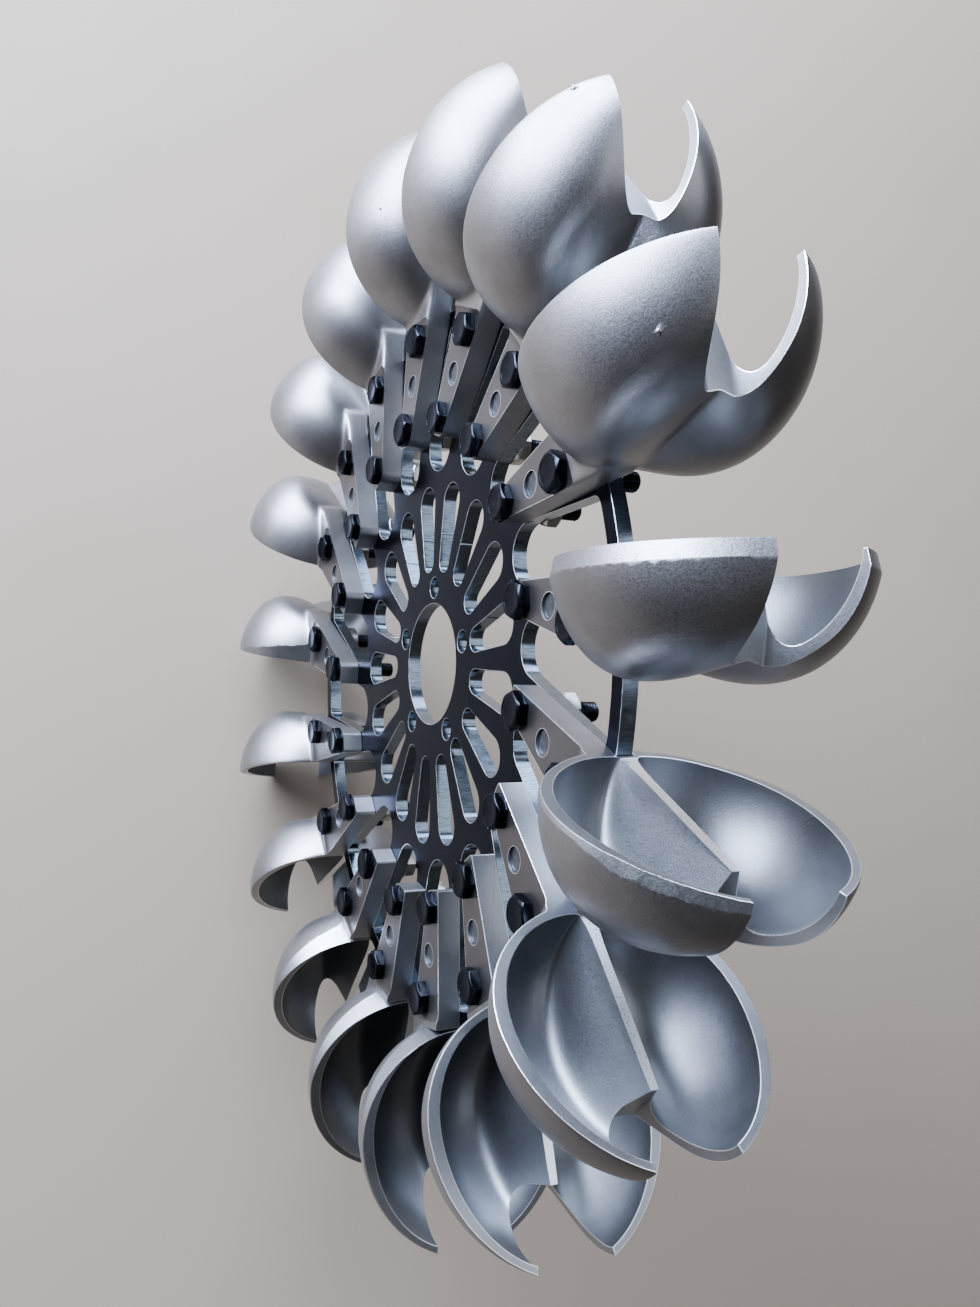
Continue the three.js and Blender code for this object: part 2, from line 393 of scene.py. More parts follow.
def joined(name: str, objects: Sequence[Solid]) -> Solid:
    """Join several objects into the first one and name it.

    Args:
        name: the name of the result.
        objects: the objects, which are used up.

    Returns:
        The joined object.
    """
    take(objects[0])
    for obj in objects:
        obj.select_set(True)
    bpy.ops.object.join()
    result = bpy.context.object
    result.name = name
    return result


def smooth_by_angle(obj: Solid, degrees: float) -> None:
    """Shade smooth, with the edges over an angle kept sharp."""
    take(obj)
    bpy.ops.object.shade_smooth_by_angle(angle=math.radians(degrees))


def copied(master: Solid, name: str, place: Matrix) -> Solid:
    """Copy of a master with its own mesh, and its place in that mesh.

    Args:
        master: the object to copy.
        name: the copy's name.
        place: the move that its mesh takes.

    Returns:
        The copy.
    """
    piece = master.copy()
    piece.data = master.data.copy()
    piece.name = name
    piece.data.name = name
    piece.data.transform(place)
    bpy.context.scene.collection.objects.link(piece)
    return piece


def hand_over(piece: Solid, slot: str, *nodes: str) -> None:
    """Let a finished piece ride on the wheel, and stand for its CAD nodes.

    Args:
        piece: the finished piece.
        slot: its material slot; not used.
        *nodes: the CAD nodes that it stands for.
    """
    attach(piece, "root")
    if nodes:
        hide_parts(*nodes)
    LOG.info("%s: %d faces", piece.name, len(piece.data.polygons))


# ---------------------------------------------------------------- finishes


@dataclass(frozen=True)
class Pattern:
    """Noise on Object coordinates: a blotch's size in metres, its finer layers, and its stretch."""

    size: float
    detail: float
    stretch: Triple = (1, 1, 1)
    fade: float = 0.55

    def add_to(self, tree: bpy.types.NodeTree) -> bpy.types.NodeSocket:
        """Add the noise to a material's tree.

        Args:
            tree: the material's tree.

        Returns:
            The socket with the noise, about 0.5 on average.
        """
        place = add_node(tree, "ShaderNodeTexCoord").outputs["Object"]
        mapping = add_node(tree, "ShaderNodeMapping", {"Scale": self.stretch}, {"Vector": place})
        settings = {"Scale": 1 / self.size, "Detail": self.detail, "Roughness": self.fade}
        links = {"Vector": mapping.outputs["Vector"]}
        return add_node(tree, "ShaderNodeTexNoise", settings, links).outputs["Fac"]


@dataclass(frozen=True)
class Finish:
    """A surface whose tone, polish and relief each follow a pattern of a real size."""

    name: str
    dark: str
    light: str
    cloud: Pattern
    polish: Pattern
    relief: Pattern
    roughness: Pair
    strength: float
    height: float
    toning: Pair = (0.35, 0.65)
    speck: float = 1.0
    metallic: float = 1.0
    glance: str = "#ffffff"

    def build(self) -> bpy.types.Material:
        """Make the material.

        Returns:
            The new material.
        """
        material = bpy.data.materials.new(self.name)
        material.use_nodes = True
        tree = material.node_tree
        tree.nodes.clear()
        patterns = dict.fromkeys((self.cloud, self.polish, self.relief))
        noises = {pattern: pattern.add_to(tree) for pattern in patterns}
        stops = list(zip(self.toning, (linear(self.dark), linear(self.light))))
        cloud = {"Fac": noises[self.cloud]}
        tone = add_node(tree, "ShaderNodeValToRGB", {"stops": stops}, cloud).outputs["Color"]
        if self.speck < 1:
            shares = {"From Min": 0.3, "From Max": 0.5, "To Min": self.speck, "To Max": 1.0}
            relief = {"Value": noises[self.relief]}
            share = add_node(tree, "ShaderNodeMapRange", shares, relief).outputs["Result"]
            specked = add_node(
                tree, "ShaderNodeVectorMath", {"operation": "SCALE"}, {0: tone, "Scale": share}
            )
            tone = specked.outputs["Vector"]
        low, high = self.roughness
        rough = add_node(
            tree, "ShaderNodeMapRange",
            {"From Min": 0.3, "From Max": 0.7, "To Min": low, "To Max": high},
            {"Value": noises[self.polish]},
        )
        bump = add_node(
            tree, "ShaderNodeBump", {"Strength": self.strength, "Distance": self.height},
            {"Height": noises[self.relief]},
        )
        shader = add_node(
            tree,
            "ShaderNodeBsdfPrincipled",
            {"Metallic": self.metallic, "Specular Tint": linear(self.glance)},
            {
                "Base Color": tone, "Roughness": rough.outputs["Result"],
                "Normal": bump.outputs["Normal"],
            },
        )
        add_node(tree, "ShaderNodeOutputMaterial", links={"Surface": shader.outputs["BSDF"]})
        return material


@dataclass(frozen=True)
class CastAluminium(Finish):
    """Sand-cast aluminium, as shot-blasted, ground or milled: silver with a fine even tooth."""

    cloud: Pattern = Pattern(34 * MM, 3)
    polish: Pattern = Pattern(0.8 * MM, 3)
    relief: Pattern = Pattern(0.8 * MM, 3)  # real tooth near 0.15 mm, drawn coarser to show
    roughness: Pair = (0.35, 0.43)
    strength: float = 0.5
    height: float = 0.14 * MM
    toning: Pair = (0.38, 0.6)


@dataclass(frozen=True)
class MillScaleSteel(Finish):
    """Hot-rolled steel plate with its mill scale on: a smooth blue-grey skin, faintly clouded."""

    dark: str = "#0e1118"
    light: str = "#161a22"
    cloud: Pattern = Pattern(18 * MM, 5)
    polish: Pattern = Pattern(1.2 * MM, 3)
    relief: Pattern = Pattern(1.2 * MM, 3)
    roughness: Pair = (0.18, 0.24)
    strength: float = 0.12
    height: float = 0.1 * MM
    toning: Pair = (0.35, 0.68)
    glance: str = "#d6d8e0"  # the oxide dulls the shine that bare metal has at a slant


@dataclass(frozen=True)
class LaserCutSteel(Finish):
    """Wall of a laser cut in steel: bare blue-white metal with fine lines through the thickness."""

    dark: str = "#5a6570"
    light: str = "#76828e"
    cloud: Pattern = Pattern(0.6 * MM, 2, (1, 0.09, 1))
    polish: Pattern = Pattern(5 * MM, 2)
    relief: Pattern = Pattern(0.6 * MM, 2, (1, 0.09, 1))  # real lines near 0.3 mm, drawn coarser
    roughness: Pair = (0.15, 0.22)
    strength: float = 0.03
    height: float = 0.05 * MM
    toning: Pair = (0.34, 0.58)


@dataclass(frozen=True)
class PlainSteel(Finish):
    """Steel with an even skin, such as a plated, oxide-black or ground one, faintly uneven."""

    cloud: Pattern = Pattern(3 * MM, 4)
    polish: Pattern = Pattern(3 * MM, 4)
    relief: Pattern = Pattern(0.6 * MM, 2)
    roughness: Pair = (0.24, 0.375)
    strength: float = 0.08
    height: float = 0.1 * MM


@dataclass(frozen=True)
class FloorPaint(Finish):
    """Matt paint on the studio's floor."""

    dark: str = "#7e7160"
    light: str = "#7e7160"
    cloud: Pattern = Pattern(0.4, 4)
    polish: Pattern = Pattern(0.4, 4)
    relief: Pattern = Pattern(0.6 * MM, 2)
    roughness: Pair = (0.6, 0.9375)
    strength: float = 0
    height: float = 0.1 * MM
    metallic: float = 0


# ---------------------------------------------------------------- the casting


class Zone(Enum):
    """What made each face of a casting."""

    CAST = 0
    HOLLOW = 1
    FACET = 2
    RIM = 3
    NOTCH = 4
    MILLED = 5
    # worn arrises, painted near white: partly wear, partly a painted highlight of a rounded edge
    EDGE = 6


class Grinding(Enum):
    """How the outside of a rim was dressed by hand, with the facet's inset in millimetres."""

    NONE = 0
    CLEAN = 2.1
    RAGGED = 1.4
    ROOT = 1.2


def zoned(obj: Solid, zone: Zone) -> Solid:
    """Give every face of a solid its zone, which cuts and joins then keep.

    Args:
        obj: the solid.
        zone: the zone of all its faces.

    Returns:
        The same solid.
    """
    while len(obj.data.materials) < len(Zone):
        obj.data.materials.append(None)
    for polygon in obj.data.polygons:
        polygon.material_index = zone.value
    return obj


def warped_ball(name: str, segments: int, rings: int, rule: Rule) -> Solid:
    """Ball whose poles point along X, with each vertex moved by a rule.

    Args:
        name: the new object's name.
        segments: sides round the ball.
        rings: rings from pole to pole.
        rule: takes x along the ball, its chord there, and the place round the chord as across
            and down, and gives the new coordinates.

    Returns:
        The new object.
    """
    obj = primitive(
        bpy.ops.mesh.primitive_uv_sphere_add, name, segments=segments, ring_count=rings, radius=1,
        rotation=(0, math.pi / 2, 0),
    )
    places = np.empty(len(obj.data.vertices) * 3)
    obj.data.vertices.foreach_get("co", places)
    places = places.reshape(-1, 3)
    along = np.clip(places[:, 0], -1, 1)
    chord = np.sqrt(np.maximum(0, 1 - along * along))
    pole = chord < 1e-3
    divisor = np.where(pole, 1, chord)
    across = np.where(pole, 0, places[:, 1] / divisor)
    down = np.where(pole, 0, places[:, 2] / divisor)
    across[np.abs(across) < 1e-6] = 0
    down[np.abs(down) < 1e-6] = 0
    moved = np.stack(rule(along, np.where(pole, 0, chord), np.clip(across, -1, 1), down), axis=1)
    obj.data.vertices.foreach_set("co", moved.ravel())
    obj.data.update()
    face_outwards(obj)
    return obj


@dataclass(frozen=True)
class CupSizes:
    """Sizes of the twin cups in their own axes: X along the mouth, Y across, Z down into them."""

    out: float = 255.5 * MM
    opened: float = 15.3 * MM
    middle: float = 4.5 * MM
    tilt: float = math.radians(3.9)
    to_root: float = 54.5 * MM
    to_tip: float = 68.2 * MM
    tip_taper: float = 1.15
    half_width: float = 60.7 * MM
    depth: float = 45.3 * MM
    tip_depth_power: float = 1.28
    valley: float = 37.2 * MM
    valley_limit: float = 0.97
    hump: float = 0.42
    fullness: float = 0.6
    wall: float = 6.2 * MM
    floor: float = 3.6 * MM
    deepest: float = 0.3
    ridge_half: float = 1.7 * MM
    ridge_flare: float = 0.28
    ridge_drop: float = 8.2 * MM
    ridge_start: float = 1.5 * MM
    ridge_step: float = 0.02 * MM
    ridge_end: float = 31.5 * MM
    corner: float = 6.5 * MM
    corner_power: float = 4
    lid: float = 8 * MM
    spare: float = 2 * MM


@dataclass(frozen=True)
class NotchSizes:
    """Sizes of the cut between the tips, as along and across from the middle of its floor."""

    tilt: float = math.radians(-9.6)
    floor_half: float = 6 * MM
    first_pull: Pair = (0, 9.5 * MM)
    second_pull: Pair = (12 * MM, 17 * MM)
    reach: float = 31.3 * MM
    mouth_half: float = 19.8 * MM
    beyond: Pair = (41.3 * MM, 21.3 * MM)
    steps: int = 20


@dataclass(frozen=True)
class LugSizes:
    """Sizes of the lug, as out and open in the bucket's axes, in millimetres for outlines."""

    front: float = -13.3 * MM
    spare: float = 1.5 * MM
    block: tuple = (
        (134, 11.4), (221.5, -21.5), (240, -18), (240, 12), (216, 20.2), (196, 23),
        (134, 29.5), (131, 26.5), (131, 14.4),
    )
    open_side: tuple = (
        (112, 29.1), (196, 20.65), (200, 20.2), (204, 19.7), (208, 19.12), (212, 18.54),
    )
    mouth_places: Triple = (216 * MM, 222 * MM, 345 * MM)
    front_face: tuple = (
        (112, -13.3), (196, -13.3), (198.8, -13.6), (201, -14.5), (202.8, -16.2), (203.8, -19),
        (204.2, -24), (204.2, -40), (112, -40),
    )
    dowel_hole: float = 6.3 * MM
    arris: float = 0.24 * MM
    arris_end: float = 195 * MM
    # the fillet at the root of the cups: middle and reach outwards, limit and fade openwards
    root: Pair = (211, 17)
    root_open: Pair = (18, 8)
    room_place: Triple = (155 * MM, -7 * MM, 0)
    room_size: Triple = (100 * MM, 15.3 * MM, 120 * MM)


@dataclass(frozen=True)
class FacetSizes:
    """Sizes of the block that trims the outside of a rim to a hand-ground facet."""

    start: float = -4 * MM
    end: float = 56 * MM
    slope: float = math.tan(math.radians(13))
    steps: int = 144
    root_shift: Triple = (3.2, 1.2, 0)  # in millimetres
    # height in millimetres and size in metres of the dings in a ragged facet
    dings: Sequence[Pair] = ((0.5, 7 * MM), (0.4, 2.4 * MM))
    dings_start: float = 0.2
    dings_fade: float = 0.3
    plain_inset: float = 0.9


@dataclass(frozen=True)
class Blemish:
    """A pip or a pit that one casting has, in the bucket's axes."""

    bucket: int
    place: Triple
    radius: float
    raised: bool
    stretch: Triple = (1.3, 1, 1)
    smooth_angle: float = 60

    def mark(self, piece: Solid) -> None:
        """Add the pip or pit to a casting that is still in the bucket's axes.

        Args:
            piece: the casting.
        """
        bead = primitive(
            bpy.ops.mesh.primitive_uv_sphere_add, "bead", segments=16, ring_count=10,
            radius=self.radius, location=self.place, scale=self.stretch,
        )
        smooth_by_angle(zoned(bead, Zone.CAST), self.smooth_angle)
        combine(piece, bead, "UNION" if self.raised else "DIFFERENCE")


@dataclass
class BucketCasting:
    """The cast twin-cup bucket with its lug, in the bucket's own axes."""

    cups: CupSizes = field(default_factory=CupSizes)
    notch: NotchSizes = field(default_factory=NotchSizes)
    lug: LugSizes = field(default_factory=LugSizes)
    facets: FacetSizes = field(default_factory=FacetSizes)
    ring_space: float = 207.4 * MM
    ring_depth: float = 8.6 * MM
    voxel: float = 1 * MM
    root_passes: int = 45
    skin_passes: int = 3
    skin_triangles: int = 18000
    segments: int = 112
    rings: int = 72
    weld: float = 0.06 * MM
    flatness: float = math.radians(0.3)
    smooth_angle: float = 32
    arris: float = 0.4 * MM
    arris_height: float = 0.16 * MM

    def to_bucket(self, obj: Solid) -> Solid:
        """Move a solid from the cups' own axes to the bucket's.

        Args:
            obj: the solid.

        Returns:
            The same solid.
        """
        cups = self.cups
        place = Matrix.Translation((cups.out, cups.middle, cups.opened))
        tilt = Matrix.Rotation(cups.tilt, 4, "Y")
        obj.data.transform(place @ tilt @ Matrix.Rotation(math.pi, 4, "X"))
        return obj

    def mouth(self, out: float) -> float:
        """How far open the mouth's plane lies at a distance out, in the bucket's axes."""
        return self.cups.opened - (out - self.cups.out) * math.tan(self.cups.tilt)

    def width_share(self, along: Values, chord: Values) -> Values:
        """Share of the full width at a place along the cups, which taper more to the tip."""
        return np.where(along > 0, np.power(chord, self.cups.tip_taper), chord)

    def depth_share(self, along: Values, chord: Values) -> Values:
        """Share of the full depth at a place along the cups, which are flatter at the tip."""
        return np.where(along > 0, np.power(chord, self.cups.tip_depth_power), chord)

    def back_depth(self, across: Values, hump: Values) -> Values:
        """Depth of the back across the cups: a valley, a hump behind each cup, none at the rim.

        Args:
            across: place across the chord, from -1 to 1.
            hump: the depth behind the middle of a cup there.

        Returns:
            The depth at each place.
        """
        cups = self.cups
        beside = np.abs(across)
        valley = np.minimum(cups.valley, cups.valley_limit * hump)
        rise = 1 - np.minimum(beside / cups.hump, 1)
        inner = hump - (hump - valley) * rise * rise
        fall = np.maximum(0, (beside - cups.hump) / (1 - cups.hump))
        outer = hump * np.power(np.maximum(0, 1 - fall * fall), cups.fullness)
        return np.where(beside < cups.hump, inner, outer)

    def back(self) -> Solid:
        """Both cups as one solid lump, a little higher than the mouth.

        Returns:
            The lump, in the bucket's axes.
        """
        cups = self.cups

        def rule(along: Values, chord: Values, across: Values, down: Values) -> tuple:
            """Place of a vertex of the lump.

            Args:
                along: places along the ball, from -1 to 1.
                chord: the ball's chord there.
                across: places across the chord.
                down: places down the chord.

            Returns:
                The coordinates along, across and down.
            """
            below = self.back_depth(across, cups.depth * self.depth_share(along, chord))
            depth = np.where(down > 0, below, cups.lid * chord * down)
            width = cups.half_width * self.width_share(along, chord)
            return along * np.where(along > 0, cups.to_tip, cups.to_root), width * across, depth

        lump = warped_ball("cups", self.segments, self.rings, rule)
        trimmed(lump, Vector((0, 0, -cups.spare)), Vector((0, 0, -1)))
        return self.to_bucket(zoned(lump, Zone.CAST))

    def lug_block(self) -> Solid:
        """The lug as one solid, a little larger than it ends up where a face is cut.

        Returns:
            The lug, in the bucket's axes.
        """
        lug = self.lug
        start, end = lug.front - lug.spare, lug.spare
        points = [Vector((out * MM, start, opened * MM)) for out, opened in lug.block]
        return zoned(extruded(outline("lug", points), Vector((0, end - start, 0))), Zone.CAST)

    def skin(self) -> Solid:
        """The outside of the casting as the sand left it, with a fillet under the lug.

        Returns:
            The uncut casting, in the bucket's axes.
        """
        solid = self.back()
        combine(solid, self.lug_block(), "UNION")
        solid.data.materials.clear()
        apply_modifier(solid, "REMESH", mode="VOXEL", voxel_size=self.voxel)
        root = solid.vertex_groups.new(name="root")
        (middle, reach), (limit, fade) = self.lug.root, self.lug.root_open
        for vertex in solid.data.vertices:
            beside = max(0.0, 1 - abs(vertex.co.x / MM - middle) / reach)
            near = beside * min(1.0, max(0.0, (limit - vertex.co.z / MM) / fade))
            if near > 0:
                root.add([vertex.index], near, "REPLACE")
        apply_modifier(solid, "SMOOTH", iterations=self.root_passes, vertex_group="root")
        apply_modifier(solid, "SMOOTH", iterations=self.skin_passes)
        solid.vertex_groups.clear()
        faces = sum(len(polygon.vertices) - 2 for polygon in solid.data.polygons)
        apply_modifier(solid, "DECIMATE", ratio=min(1, self.skin_triangles / faces))
        return zoned(solid, Zone.CAST)

    def hollow(self, side: int) -> Solid:
        """One cup's hollow: a steep flank of the splitter, a tight foot, and a bowl up to the rim.

        Args:
            side: -1 or 1, the side across.

        Returns:
            The solid to cut away, in the bucket's axes.
        """
        cups = self.cups
        outer = cups.half_width - cups.wall
        pole = cups.ridge_half + cups.corner

        def rule(along: Values, chord: Values, across: Values, down: Values) -> tuple:
            """Place of a vertex of the hollow.

            Args:
                along: places along the ball, from -1 to 1.
                chord: the ball's chord there.
                across: places across the chord.
                down: places down the chord.

            Returns:
                The coordinates along, across and down.
            """
            reach = np.where(along > 0, cups.to_tip, cups.to_root) - cups.wall
            flank = (across < 0) & (down > 0)
            aside = np.where(flank, -np.sqrt(np.maximum(0, -across)), across)
            fall = np.where(flank, np.sqrt(np.maximum(0, down)), down)
            full = np.where(down > 0, cups.depth - cups.floor, 2 * cups.lid)
            depth = self.depth_share(along, chord) * fall * full
            flare = cups.ridge_flare * np.maximum(0, depth - self.ridge_drop(along * reach))
            power = cups.corner_power
            straight = np.power(np.maximum(0, 1 - np.abs(along) ** power), 1 / power)
            near = cups.ridge_half + cups.corner * (1 - straight)
            far = pole + (outer - pole) * self.width_share(along, chord)
            share = cups.deepest + aside * np.where(aside < 0, cups.deepest, 1 - cups.deepest)
            width = near + flare + (far - near - flare) * share
            return along * reach, width * side, depth

        ball = warped_ball("hollow", self.segments, self.rings, rule)
        return self.to_bucket(zoned(ball, Zone.HOLLOW))

    def ridge_drop(self, along: Values) -> Values:
        """How far the splitter's ridge lies below the mouth at a place along the cups.

        Args:
            along: places along the cups, from their middle.

        Returns:
            The drop at each place.
        """
        cups = self.cups
        root = cups.wall - cups.to_root
        return cups.ridge_drop * np.maximum(0, (along - root) / (cups.ridge_end - root))

    def facet(self, grinding: Grinding) -> Solid:
        """Tapered block whose sides trim the outside under the rim to a ground facet.

        Args:
            grinding: how the rim was dressed.

        Returns:
            The block to keep the casting inside of, with room for the lug.
        """
        cups, sizes = self.cups, self.facets
        start, tall = sizes.start, sizes.end - sizes.start
        shift = Vector(sizes.root_shift if grinding is Grinding.ROOT else (0, 0, 0)) * MM
        points = []
        for step in range(sizes.steps):
            turn = 2 * math.pi * (step + 0.5) / sizes.steps
            along, chord = math.cos(turn), abs(math.sin(turn))
            reach = cups.to_tip if along > 0 else cups.to_root
            wide = float(self.width_share(np.array(along), np.array(chord)))
            side = math.copysign(1, math.sin(turn))
            flat = Vector((along * reach, side * cups.half_width * wide, 0))
            away = grinding.value * MM - sizes.slope * start
            if grinding is Grinding.RAGGED:
                share = min(1.0, max(0.0, (along - sizes.dings_start) / sizes.dings_fade))
                share = share if side > 0 else 0.0
                dings = sum(height * noise.noise(flat / size) for height, size in sizes.dings)
                away += (dings * share - sizes.plain_inset * (1 - share)) * MM
            points.append(flat - flat.normalized() * away + shift + Vector((0, 0, start)))
        grown = 1 + sizes.slope * tall / cups.half_width
        block = extruded(outline("facet", points), Vector((0, 0, tall)), Vector((grown, grown, 1)))
        self.to_bucket(zoned(block, Zone.FACET))
        room = primitive(
            bpy.ops.mesh.primitive_cube_add, "lug_room", size=1, location=self.lug.room_place,
            scale=self.lug.room_size,
        )
        return combine(block, zoned(room, Zone.CAST), "UNION")

    def open_side_cut(self) -> Solid:
        """What lies above the mouth's plane, which runs on smoothly into the lug's open side.

        Returns:
            The solid to cut away.
        """
        clear = 90 * MM
        profile = [(out * MM, opened * MM) for out, opened in self.lug.open_side]
        profile += [(out, self.mouth(out)) for out in self.lug.mouth_places]
        profile += [(profile[-1][0], clear), (profile[0][0], clear)]
        points = [Vector((out, -clear, opened)) for out, opened in profile]
        block = extruded(outline("above_mouth", points), Vector((0, 2 * clear, 0)))
        return zoned(block, Zone.RIM)

    def front_cut(self) -> Solid:
        """What lies before the lug's milled face, rounded off where the near cup starts.

        Returns:
            The solid to cut away.
        """
        clear = 60 * MM
        points = [Vector((out * MM, y * MM, -clear)) for out, y in self.lug.front_face]
        block = extruded(outline("before_lug", points), Vector((0, 0, 2 * clear)))
        return zoned(block, Zone.MILLED)

    def notch_cut(self) -> Solid:
        """The cut between the two tips, right through the back.

        Returns:
            The solid to cut away.
        """
        notch, cups = self.notch, self.cups
        curve = []
        pulls = (
            (0, notch.floor_half), notch.first_pull, notch.second_pull,
            (notch.reach, notch.mouth_half),
        )
        for step in range(notch.steps + 1):
            t = step / notch.steps
            weights = ((1 - t) ** 3, 3 * t * (1 - t) ** 2, 3 * t * t * (1 - t), t**3)
            pair = (sum(w * pull[axis] for w, pull in zip(weights, pulls)) for axis in (0, 1))
            curve.append(tuple(pair))
        curve.append(notch.beyond)
        low = -3 * cups.lid
        points = [Vector((along, wide, low)) for along, wide in curve]
        points += [Vector((along, -wide, low)) for along, wide in reversed(curve)]
        block = extruded(outline("notch", points), Vector((0, 0, 3 * cups.depth)))
        block.data.transform(
            Matrix.Translation((cups.ridge_end, 0, 0)) @ Matrix.Rotation(notch.tilt, 4, "Y")
        )
        return self.to_bucket(zoned(block, Zone.NOTCH))

    def splitter_cut(self) -> Solid:
        """The wedge that lowers the splitter towards the notch.

        Returns:
            The solid to cut away.
        """
        cups = self.cups
        root = cups.wall - cups.to_root + cups.ridge_start
        end = cups.ridge_end + cups.lid
        drop = float(self.ridge_drop(np.array(end)))
        half = 3 * cups.ridge_half
        profile = ((root, -cups.lid), (root, -cups.ridge_step), (end, drop), (end, -cups.lid))
        points = [Vector((along, -half, depth)) for along, depth in profile]
        block = extruded(outline("wedge", points), Vector((0, 2 * half, 0)))
        # the ridge's top takes the near-white arris finish: partly wear, partly a painted highlight
        # of the rounded ridge
        return self.to_bucket(zoned(block, Zone.EDGE))

    def ring_cut(self) -> Solid:
        """The flat round groove that takes the plate and its ring."""
        disc = rod("ring_space", 240, self.ring_space, -FIT_GAP, self.ring_depth)
        return zoned(disc, Zone.CAST)

    def dowel_cut(self) -> Solid:
        """The hole of the dowel pin through the lug."""
        hole = rod("dowel_hole", 48, self.lug.dowel_hole, -THROUGH, THROUGH, DOWEL)
        return zoned(hole, Zone.HOLLOW)

    @staticmethod
    def break_arris(solid: Solid, zone: Zone, width: float, height: float, end: float) -> None:
        """Give a cut surface a narrow bright border: its worn edges, painted near white as the
        highlight that a rounded edge would catch.

        Args:
            solid: the casting.
            zone: the zone of the surface.
            width: the border's width.
            height: how far the border falls off outwards.
            end: distance out beyond which the surface runs on with no border.
        """
        with editing(solid):
            select(solid, "faces", lambda face: face.material_index == zone.value)
            bpy.ops.mesh.inset(thickness=width, depth=height, use_even_offset=False)
            shape = bmesh.from_edit_mesh(solid.data)
            for face in shape.faces:
                ring = face.material_index == zone.value and not face.select
                if ring and face.calc_center_median().x < end:
                    face.material_index = Zone.EDGE.value
            bmesh.update_edit_mesh(solid.data)

    def model(self, grinding: Grinding) -> Solid:
        """Model one casting: its outside first, then every face that is cut.

        Args:
            grinding: how the outside of its rim was dressed.

        Returns:
            The master casting, each face with its zone's number as material index.
        """
        solid = self.skin()
        if grinding is not Grinding.NONE:
            combine(solid, self.facet(grinding), "INTERSECT")
        for cutter in (
            self.open_side_cut(), self.front_cut(), self.hollow(-1), self.hollow(1),
            self.splitter_cut(), self.notch_cut(), self.ring_cut(), self.dowel_cut(),
        ):
            combine(solid, cutter, "DIFFERENCE")
        solid.name = f"casting_{grinding.name.lower()}"
        with editing(solid, "VERT"):
            bpy.ops.mesh.select_all(action="SELECT")
            bpy.ops.mesh.remove_doubles(threshold=self.weld)
            bpy.ops.mesh.dissolve_limited(angle_limit=self.flatness, delimit={"MATERIAL"})
        # near-white borders on the rim, the notch and the lug's face: wear, and painted highlights
        # of rounded edges
        self.break_arris(solid, Zone.RIM, self.arris, self.arris_height, math.inf)
        self.break_arris(solid, Zone.NOTCH, self.arris, self.arris_height, math.inf)
        self.break_arris(solid, Zone.MILLED, self.lug.arris, 0, self.lug.arris_end)
        smooth_by_angle(solid, self.smooth_angle)
        apply_modifier(solid, "WEIGHTED_NORMAL", keep_sharp=True, weight=50)
        return solid


# ---------------------------------------------------------------- the plate


